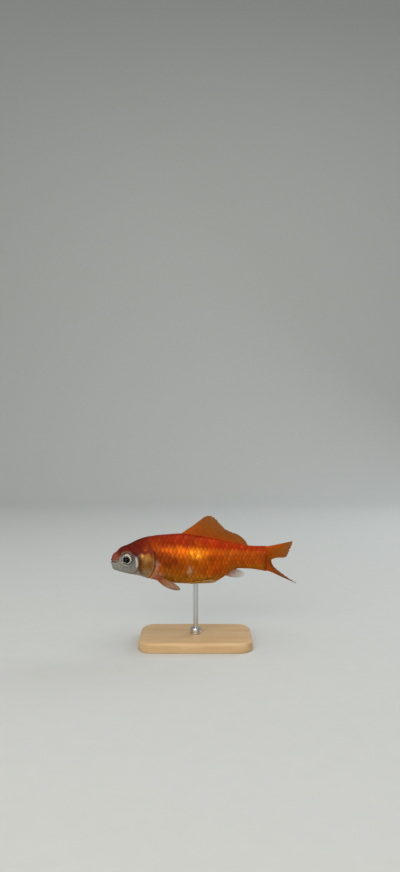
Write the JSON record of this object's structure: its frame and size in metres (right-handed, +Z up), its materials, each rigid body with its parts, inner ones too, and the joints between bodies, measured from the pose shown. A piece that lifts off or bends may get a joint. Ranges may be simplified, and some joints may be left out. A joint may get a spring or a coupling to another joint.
{
  "type": "goldfish model",
  "caption": "Life-size still model of a slender orange goldfish swimming level, tail swept to its left, held over a flat base by a rod into the belly.",
  "frame": {"origin": "centre of the stand's underside, below the rod", "axes": "+Z up; the fish heads towards -X, so its left side faces -Y"},
  "size_m": [0.0768, 0.028, 0.0528],
  "materials": {
    "skin": "wet dark red skin of the head, without scales",
    "pale_skin": "wet silvery white skin of the jaw and cheek",
    "gill_cover": "smooth bony plate with a golden sheen",
    "eye": "silver iris round a black pupil, under a clear cornea",
    "scales": "overlapping metallic orange scales with golden glints, deep red on the back",
    "fin": "thin orange membrane on soft rays, clearer towards the edge",
    "pale_fin": "thin clear membrane on soft rays, orange at the root",
    "maple": "oiled pale maple",
    "steel": "satin stainless steel"
  },
  "bodies": {
    "root": {"head": "skin", "lower_jaw": "pale_skin", "gill_cover_left": "gill_cover", "gill_cover_right": "gill_cover", "eye_left": "eye", "eye_right": "eye", "trunk": "scales", "tail_stem": "scales", "dorsal_fin": "fin", "anal_fin": "pale_fin", "tail_fin_upper": "fin", "tail_fin_lower": "fin", "pectoral_fin_left": "pale_fin", "pectoral_fin_right": "pale_fin", "pelvic_fin_left": "pale_fin", "pelvic_fin_right": "pale_fin", "stand_base": "maple", "stand_rod": "steel", "stand_collar": "steel"}
  },
  "joints": []
}
